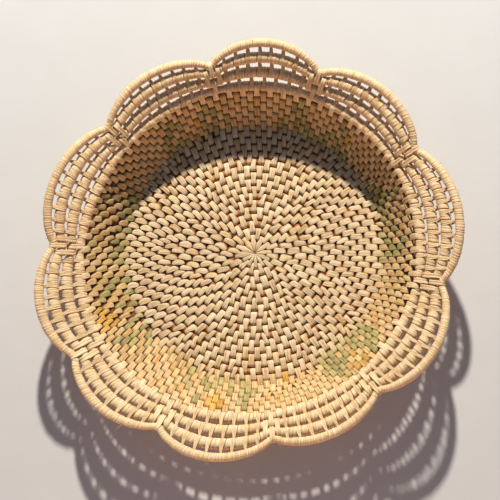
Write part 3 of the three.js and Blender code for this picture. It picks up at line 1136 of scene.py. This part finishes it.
def bridge_bearings(lines, cord):
    """Bearings of the long stitches between a cord and the next, clear of the lashings."""
    random = np.random.RandomState(SEEDS["bridge_places"] + cord)
    bearings = []
    clear = LASHING_CLEARANCE
    for index, valley in enumerate(lines.valleys):
        following = lines.valleys[(index + 1) % len(lines.valleys)]
        width = (following - valley) % FULL_TURN - 2 * clear
        radius = float(lines.cord_place(cord, valley + width / 2)[0])
        count = int(round(width * radius / lines.sizes.bridge_spacing))
        for step in range(count + 1):
            jitter = 0.2 * (random.random_sample() - 0.5)
            share = min(max((step + jitter) / count, 0), 1)
            bearings.append(valley + clear + width * share)
    return np.array(bearings)


def add_lashing(maker, lines, cord, bearing, random):
    """A flat strap round two neighbouring cords in a valley."""
    first, first_radius = cord_section(lines, cord, bearing, LASHING_LIFT)
    second, second_radius = cord_section(lines, cord + 1, bearing, LASHING_LIFT)
    loop = Loop(first, second, first_radius, second_radius, 0.2 * MM, 1.0, (ROUND_END, ROUND_END))
    tone = np.array(strip_tone(random))
    wide = lines.sizes.lashing_width * (0.93 + 0.1 * random.random())
    for part in (-1, 1):
        half = 0.29 * wide * (1 - 0.15 * np.abs(2 * loop.way - 1)) / loop.radius
        lean = 0.7 * MM * (random.random() - 0.5) * (loop.way - 0.5)
        middle = bearing + (part * 0.23 * wide + lean) / loop.radius
        own = np.clip(tone + 0.3 * (random.random() - 0.5), 0, 1)
        roll = 0.10 * part + 0.06 * (random.random() - 0.5)
        left, right = middle - half, middle + half
        add_band(maker, loop.radius, loop.height, left, right, LASHING_THICKNESS, own, 0.0, roll)


FIBRE_SIDES = 3


def add_fibre(maker, start, ahead, bend, width, tone):
    """A loose end of fibre, which starts in a cord and thins out."""
    share = np.linspace(0, 1, 6)[:, None]
    line = start + ahead * share + bend * share**2
    run = ahead + 2 * bend * share
    run /= np.linalg.norm(run, axis=1)[:, None]
    side = np.cross(run, (0.31, 0.17, 0.93))
    side /= np.linalg.norm(side, axis=1)[:, None]
    up = np.cross(side, run)
    angles = np.arange(FIBRE_SIDES) * FULL_TURN / FIBRE_SIDES
    cos_a = np.cos(angles)[None, :, None]
    sin_a = np.sin(angles)[None, :, None]
    ring = cos_a * side[:, None] + sin_a * up[:, None]
    thick = width / 2 * (1 - 0.8 * share)
    along = share[:, 0] * float(np.linalg.norm(ahead))
    maker.add_grid(line[:, None] + ring * thick[:, None], along, angles / FULL_TURN, tone, False)


# Pieces ride on the one body and hide the parts that they replace

ROPE_STEPS = 110  # in a turn
ROPE_SIDES = 14
INNER_FLOOR = 0.72  # share of the floor's turns whose stitches are a piece of their own
STITCH_LOOKS = {
    "floor_inner": ("floor_straw", "straw"),
    "floor_outer": ("floor_straw", "straw"),
    "rim_seam": ("cord_straw", "cord"),
    "wall_natural": ("wall_straw", "wall"),
    "wall_green": ("green_strips", "green"),
    "wall_orange": ("orange_strips", "orange"),
}
FRAYED_CORDS = (3, 3, 2, 1)  # rim cords that fibres come loose from, counted from the inner one


def finish_piece(piece, slot, *nodes):
    """Ties a piece to its body and hides the nodes that it stands in for. The slot is not used."""
    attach(piece, BODY)
    if nodes:
        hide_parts(*nodes)


def basket_lines(context):
    """The lines of the basket in this scene's sizes."""
    return Lines(context.scene.basket_sizes)


def straw(context, name, family="straw"):
    """One straw material for each name, made once."""
    found = bpy.data.materials.get(name)
    if found:
        return found
    colours = context.scene.basket_colours
    if family == "wall":
        shades = (colours.wall_tan, colours.wall_straw, colours.wall_pale)
    elif family == "cord":
        shades = (colours.cord_tan, colours.cord_straw, colours.cord_pale)
    elif family == "straw":
        shades = (colours.straw_tan, colours.straw, colours.straw_pale)
    else:
        main = getattr(colours, family)
        shades = [[min(1, level * part) for part in main] for level in (0.5, 1, 1.5)]
    return straw_material(name, *(tuple(shade) for shade in shades))


class BASKET_OT_rope(bpy.types.Operator):
    """Add the grass rope that is coiled into floor and wall"""

    bl_idname = "basket.rope"
    bl_label = "Rope"

    def execute(self, context):
        lines = basket_lines(context)
        colours = context.scene.basket_colours
        start = (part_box("centre_knot")[1].x + lines.pitch / 2) / lines.pitch
        tail_end = lines.coil_end + context.scene.basket_sizes.tail_turns
        # the wall's rope gets the darker colour, painted shade for its deep gaps
        for name, node, first, last, shade in (
            ("floor_rope", "base_coil", start, lines.splice, colours.grass),
            ("wall_rope", "wall_coil", lines.splice, tail_end, colours.wall_grass),
        ):
            material = grass_material(name + "_grass", shade)
            finish_piece(self.rope(lines, name, first, last, material), "coil_strips", node)
        return {"FINISHED"}

    def rope(self, lines, name, first, last, material):
        """One length of rope, from its first turn to its last."""
        steps = int((last - first) * ROPE_STEPS)
        turn = np.linspace(first, last, steps)
        distance, half = lines.rope(turn)
        radius, height, slope = lines.row(distance)
        high = np.maximum(half - lines.sizes.strip_thickness * 1.25, 0.1 * MM)
        angles = np.arange(ROPE_SIDES) * FULL_TURN / ROPE_SIDES
        level = np.abs(np.cos(angles))
        out = (half + 0.02 * MM)[:, None] * (np.cos(angles) * (0.86 + 0.14 * level**6))[None, :]
        up = high[:, None] * np.sin(angles)[None, :]
        up = np.where(up < 0, up * UNDER_SQUASH, up)
        ring_r = radius[:, None] + out * np.cos(slope)[:, None] - up * np.sin(slope)[:, None]
        ring_z = height[:, None] + out * np.sin(slope)[:, None] + up * np.cos(slope)[:, None]
        bearing = (turn * FULL_TURN)[:, None]
        points = np.stack([ring_r * np.cos(bearing), ring_r * np.sin(bearing), ring_z], -1)
        maker = MeshMaker()
        run = np.cumsum(np.append(0, np.diff(turn) * FULL_TURN * radius[1:]))
        maker.add_grid(points, run, angles / FULL_TURN, (0.5, 0.5, 0.5, 0.0), closed_along=False)
        return maker.build(name, material)


class BASKET_OT_star(bpy.types.Operator):
    """Add the star of folded strips in which the coil starts"""

    bl_idname = "basket.star"
    bl_label = "Centre Star"

    def execute(self, context):
        sizes = context.scene.basket_sizes
        lines = basket_lines(context)
        random = np.random.RandomState(SEEDS["star"])
        maker = MeshMaker()
        turns = stitch_turns(lines, sizes, 6.0)
        edges = stitch_edges(turns)
        for index in range(sizes.star_strips):
            add_star_strip(maker, lines, turns[index], edges[index], random)
        piece = maker.build("centre_star", straw(context, "floor_straw"))
        finish_piece(piece, "coil_strips", "centre_knot")
        return {"FINISHED"}


class BASKET_OT_stitches(bpy.types.Operator):
    """Add the sewing strips of floor and wall"""

    bl_idname = "basket.stitches"
    bl_label = "Stitches"

    def execute(self, context):
        sizes = context.scene.basket_sizes
        lines = basket_lines(context)
        random = np.random.RandomState(SEEDS["stitches"])
        turns = stitch_turns(lines, sizes, lines.coil_end + 0.5)
        edges = stitch_edges(turns)
        makers = {}
        for index in range(sizes.star_strips, len(turns)):
            kind = self.kind(lines, turns[index], random)
            maker = makers.setdefault(kind, MeshMaker())
            add_stitch(maker, lines, turns[index], edges[index], random)
        for kind, maker in makers.items():
            piece = maker.build(f"{kind}_stitches", straw(context, *STITCH_LOOKS[kind]))
            finish_piece(piece, "coil_strips")
        return {"FINISHED"}

    def kind(self, lines, turn, random):
        """Which piece the stitch at this turn is part of."""
        if turn < INNER_FLOOR * lines.splice:
            return "floor_inner"
        if turn < lines.splice - 0.5:
            return "floor_outer"
        if meets_rim(lines, turn):
            return "rim_seam"
        return "wall_" + wall_shade(lines, turn, random)


class BASKET_OT_rim_cords(bpy.types.Operator):
    """Add the four wound cords of the rim"""

    bl_idname = "basket.rim_cords"
    bl_label = "Rim Cords"

    def execute(self, context):
        lines = basket_lines(context)
        material = straw(context, "cord_straw", "cord")
        for cord, node in enumerate(RIM_CORDS):
            piece = wound_cord(lines, cord, f"wound_{node}", material, SEEDS["cords"] + cord)
            finish_piece(piece, "rim_wrapping", node)
        return {"FINISHED"}


class BASKET_OT_bridges(bpy.types.Operator):
    """Add the long stitches between the rim's cords"""

    bl_idname = "basket.bridges"
    bl_label = "Long Stitches"

    def execute(self, context):
        lines = basket_lines(context)
        material = straw(context, "cord_straw", "cord")
        for cord, name in enumerate(("inner", "middle", "outer")):
            random = np.random.RandomState(SEEDS["bridges"] + cord)
            maker = MeshMaker()
            for bearing in bridge_bearings(lines, cord):
                add_bridge(maker, lines, cord, bearing, random)
            finish_piece(maker.build(f"{name}_long_stitches", material), "rim_wrapping")
        return {"FINISHED"}


class BASKET_OT_fibres(bpy.types.Operator):
    """Add the loose ends of fibre along the rim's cords"""

    bl_idname = "basket.fibres"
    bl_label = "Loose Fibres"

    def execute(self, context):
        lines = basket_lines(context)
        random = np.random.RandomState(SEEDS["fibres"])
        maker = MeshMaker()
        for _ in range(context.scene.basket_sizes.loose_fibres):
            self.add_one(maker, lines, random)
        piece = maker.build("loose_fibres", straw(context, "cord_straw", "cord"))
        finish_piece(piece, "rim_wrapping")
        return {"FINISHED"}

    def add_one(self, maker, lines, random):
        """A fibre that leaves one of the cords somewhere round its outside."""
        cord = FRAYED_CORDS[random.randint(len(FRAYED_CORDS))]
        bearing = FULL_TURN * random.random()
        radius, height = lines.cord_place(cord, bearing)
        turned = math.radians(200 * random.random() - 80)
        level = np.array([math.cos(bearing), math.sin(bearing), 0.0])
        out = level * math.cos(turned) + np.array([0, 0, math.sin(turned)])
        along = np.array([-math.sin(bearing), math.cos(bearing), 0.0]) * random.choice((-1, 1))
        start = level * float(radius) + np.array([0, 0, float(height)])
        start = start + out * (float(lines.cord_radius(cord, bearing)) - 0.5 * MM)
        reach = (1.2 + 2.6 * random.random() ** 2) * MM
        ahead = out * reach + along * reach * (0.4 + random.random())
        bend = (random.random_sample(3) - 0.5) * 2 * reach
        width = (0.16 + 0.16 * random.random()) * MM
        add_fibre(maker, start, ahead, bend, width, (*strip_tone(random), 0.15))


class BASKET_OT_lashings(bpy.types.Operator):
    """Add the lashings that tie the cords together in each valley"""

    bl_idname = "basket.lashings"
    bl_label = "Lashings"

    def execute(self, context):
        lines = basket_lines(context)
        material = straw(context, "lashing_straw", "cord")
        random = np.random.RandomState(SEEDS["lashings"])
        for name in sorted(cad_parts):
            if not name.startswith("lashing"):
                continue
            low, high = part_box(name)
            middle = (low + high) / 2
            cord = 0 if name.endswith("_inner") else 2 if name.endswith("_outer") else 1
            maker = MeshMaker()
            add_lashing(maker, lines, cord, math.atan2(middle.y, middle.x), random)
            finish_piece(maker.build(f"{name}_strip", material), "lashing_strips", name)
        return {"FINISHED"}


FLOOR_HALF = 3.0
FLOOR_DROP = 0.05 * MM
SKY_TINT = (0.36, 0.62, 1.0, 1.0)
SKY_STRENGTH = 0.24
KEY_SIZE = (0.07, 0.07)
# Low warm light, as a wooden table throws back: name, place, size, power and tint
WARM_LIGHTS = (
    ("warm_light", (0.0, -1.15, 0.27), (2.0, 0.3), 6.9, (1.0, 0.46, 0.18)),
    ("low_warm_light", (0.0, -0.55, 0.13), (1.0, 0.08), 0.8, (1.0, 0.62, 0.40)),
)


class BASKET_OT_stage(bpy.types.Operator):
    """Add the plain floor, the soft lights and the camera"""

    bl_idname = "basket.stage"
    bl_label = "Stage"

    def execute(self, context):
        stage = context.scene.basket_stage
        self.floor(context, tuple(context.scene.basket_colours.floor))
        self.camera(context, stage)
        self.lights(context, stage)
        self.sky(context)
        context.scene.view_settings.view_transform = "Standard"
        return {"FINISHED"}

    def floor(self, context, shade):
        mesh = bpy.data.meshes.new("plain_floor")
        corners = [(x * FLOOR_HALF, y * FLOOR_HALF, 0) for x, y in ((-1, -1), (1, -1), (1, 1), (-1, 1))]
        mesh.from_pydata(corners, [], [(0, 1, 2, 3)])
        mesh.materials.append(floor_material("pale_floor", shade))
        ground = bpy.data.objects.new("plain_floor", mesh)
        ground.location.z = -FLOOR_DROP
        context.scene.collection.objects.link(ground)

    def camera(self, context, stage):
        data = bpy.data.cameras.new("view_camera")
        data.lens = stage.lens
        data.sensor_width = 36.0
        data.clip_end = 20.0
        camera = bpy.data.objects.new("view_camera", data)
        off = Vector((math.tan(stage.camera_lean), -math.tan(stage.camera_tilt), 1.0)).normalized()
        camera.location = off * stage.camera_distance
        back = (camera.location - Vector((stage.aim_x, stage.aim_y, 0.0))).normalized()
        right = Vector((0, 1, 0)).cross(back).normalized()
        camera.rotation_euler = Matrix((right, back.cross(right), back)).transposed().to_euler()
        context.scene.collection.objects.link(camera)
        context.scene.camera = camera

    def lights(self, context, stage):
        flat = stage.key_distance * math.cos(stage.key_height)
        high = stage.key_distance * math.sin(stage.key_height)
        spot = (flat * math.sin(stage.key_side), flat * math.cos(stage.key_side), high)
        self.area(context, "key_light", spot, KEY_SIZE, stage.key_power, (1.0, 0.95, 0.87))
        for warm_light in WARM_LIGHTS:
            self.area(context, *warm_light)

    def area(self, context, name, spot, size, power, tint):
        """A soft oval light that shines on the basket's middle."""
        data = bpy.data.lights.new(name, "AREA")
        data.shape = "ELLIPSE"
        data.size, data.size_y = size
        data.energy = power
        data.color = tint
        light = bpy.data.objects.new(name, data)
        light.location = spot
        light.rotation_euler = (-Vector(spot)).to_track_quat("-Z", "Y").to_euler()
        context.scene.collection.objects.link(light)

    def sky(self, context):
        world = bpy.data.worlds.new("soft_room")
        world.use_nodes = True
        back = world.node_tree.nodes["Background"]
        back.inputs["Color"].default_value = SKY_TINT
        back.inputs["Strength"].default_value = SKY_STRENGTH
        context.scene.world = world


class VIEW3D_PT_basket(bpy.types.Panel):
    """Lists the basket's pieces in the sidebar"""

    bl_label = "Coiled Basket"
    bl_idname = "VIEW3D_PT_basket"
    bl_space_type = "VIEW_3D"
    bl_region_type = "UI"
    bl_category = "Basket"

    def draw(self, context):
        for operator in OPERATORS:
            self.layout.operator(operator.bl_idname)
        for group in ("basket_sizes", "basket_colours", "basket_stage"):
            settings = getattr(context.scene, group)
            box = self.layout.box()
            for name in settings.bl_rna.properties.keys():
                if name not in ("rna_type", "name"):
                    box.prop(settings, name)


OPERATORS = (
    BASKET_OT_rope,
    BASKET_OT_star,
    BASKET_OT_stitches,
    BASKET_OT_rim_cords,
    BASKET_OT_bridges,
    BASKET_OT_fibres,
    BASKET_OT_lashings,
    BASKET_OT_stage,
)
CLASSES = (BasketSizes, BasketColours, StageSettings, *OPERATORS, VIEW3D_PT_basket)


def register():
    for each in CLASSES:
        bpy.utils.register_class(each)
    bpy.types.Scene.basket_sizes = PointerProperty(type=BasketSizes)
    bpy.types.Scene.basket_colours = PointerProperty(type=BasketColours)
    bpy.types.Scene.basket_stage = PointerProperty(type=StageSettings)


def unregister():
    del bpy.types.Scene.basket_stage
    del bpy.types.Scene.basket_colours
    del bpy.types.Scene.basket_sizes
    for each in reversed(CLASSES):
        bpy.utils.unregister_class(each)


def main():
    register()
    bpy.ops.basket.rope()
    bpy.ops.basket.star()
    bpy.ops.basket.stitches()
    bpy.ops.basket.rim_cords()
    bpy.ops.basket.bridges()
    bpy.ops.basket.fibres()
    bpy.ops.basket.lashings()
    bpy.ops.basket.stage()
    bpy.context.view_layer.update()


if __name__ == "__main__":
    main()
